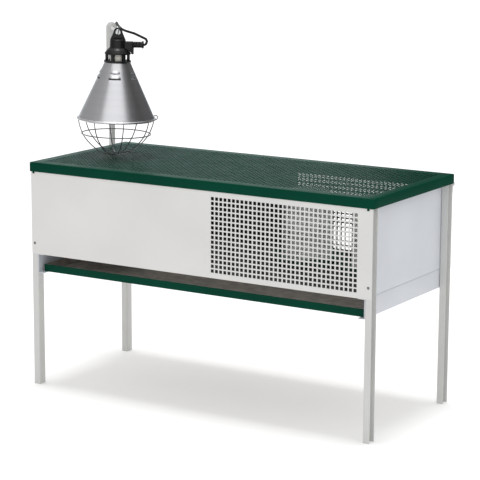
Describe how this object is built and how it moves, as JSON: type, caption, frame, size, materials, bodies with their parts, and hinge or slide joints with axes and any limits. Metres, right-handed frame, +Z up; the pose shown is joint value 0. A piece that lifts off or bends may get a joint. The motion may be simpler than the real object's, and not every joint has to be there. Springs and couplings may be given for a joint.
{
  "type": "brooder cage",
  "caption": "Raised sheet-metal brooder cage with hinged perforated lid, mesh windows, slide-out tray, heat lamp on a post, drinker and feeder.",
  "frame": {"origin": "centre of the whole object's footprint, on the ground that the legs stand on", "axes": "+X along the cage's long side to the end away from the lamp, -Y out of the front with the tray, +Z up"},
  "size_m": [1.028, 0.4404, 0.9278],
  "materials": {
    "green_paint": "dark green semi-gloss powder coat",
    "white_paint": "warm white satin powder coat",
    "grey_paint": "light grey satin powder coat",
    "galvanised": "galvanised sheet and welded wire, matt",
    "zinc_wire": "bright zinc-plated wire",
    "spun_aluminium": "spun aluminium with fine turning marks",
    "bright_steel": "zinc-plated fasteners",
    "black_plastic": "moulded black thermoset",
    "black_rubber": "black rubber flex",
    "white_ceramic": "glazed ceramic",
    "bulb_glass": "frosted reflector glass",
    "milky_plastic": "translucent natural polyethylene",
    "green_plastic": "moulded green polypropylene"
  },
  "bodies": {
    "cage": {"leg_front_left": "grey_paint", "leg_front_right": "grey_paint", "leg_back_left": "grey_paint", "leg_back_right": "grey_paint", "front_panel": "white_paint", "back_panel": "white_paint", "side_panel_left": "white_paint", "side_panel_right": "white_paint", "panel_rivet_front_left": "bright_steel", "panel_rivet_front_right": "bright_steel", "panel_rivet_back_left": "bright_steel", "panel_rivet_back_right": "bright_steel", "floor_grid": "galvanised", "tray_runner_left": "white_paint", "tray_runner_right": "white_paint", "hinge_lower_left": "grey_paint", "hinge_lower_right": "grey_paint", "hinge_pin_left": "bright_steel", "hinge_pin_right": "bright_steel", "drinker_dish": "green_plastic", "feeder_dish": "green_plastic"},
    "lid": {"lid": "green_paint", "hinge_upper_left": "grey_paint", "hinge_upper_right": "grey_paint", "lamp_post": "grey_paint", "post_cap": "black_plastic", "post_foot": "grey_paint", "post_screw_front": "bright_steel", "post_screw_back": "bright_steel", "head_plate": "grey_paint", "lamp_arm": "grey_paint", "arm_nut_eye": "bright_steel", "arm_nut_front": "grey_paint", "arm_nut_back": "grey_paint", "eye_screw": "bright_steel", "cord_lead": "black_rubber", "cord_coil": "black_rubber", "cord_tail": "black_rubber", "coil_tie": "black_plastic", "post_tie_lower": "black_plastic", "post_tie_upper": "black_plastic", "mains_plug": "black_rubber", "plug_pin_left": "bright_steel", "plug_pin_right": "bright_steel"},
    "lamp": {"lamp_housing": "black_plastic", "cable_gland": "black_plastic", "vented_collar": "black_plastic", "lamp_socket": "white_ceramic", "bulb_cap": "bright_steel", "bulb": "bulb_glass", "lamp_shade": "spun_aluminium", "lamp_guard": "zinc_wire", "guard_clip": "zinc_wire", "cord_loop": "black_rubber"},
    "tray": {"tray": "galvanised", "tray_front": "green_paint"},
    "drinker_jar": {"drinker_jar": "milky_plastic"},
    "feeder_jar": {"feeder_jar": "milky_plastic"}
  },
  "joints": [
    {"name": "lid_hinge", "type": "hinge", "parent": "cage", "child": "lid", "pos_m": [0.01005, 0.21525, 0.5635], "axis": [-1, 0, 0], "range_deg": [0, 105]},
    {"name": "lamp_swing", "type": "hinge", "parent": "lid", "child": "lamp", "pos_m": [-0.34698, -0.0231, 0.9163], "axis": [-0.6374, 0.7705, 0], "range_deg": [-25, 25]},
    {"name": "tray_slide", "type": "slide", "parent": "cage", "child": "tray", "axis": [0, -1, 0], "range_m": [0, 0.38]},
    {"name": "drinker_jar_twist", "type": "hinge", "parent": "cage", "child": "drinker_jar", "pos_m": [0.17605, 0.06575, 0.3533], "axis": [0, 0, 1], "range_deg": [0, 30]},
    {"name": "feeder_jar_twist", "type": "hinge", "parent": "cage", "child": "feeder_jar", "pos_m": [0.37805, 0.04875, 0.3533], "axis": [0, 0, 1], "range_deg": [0, 30]}
  ]
}
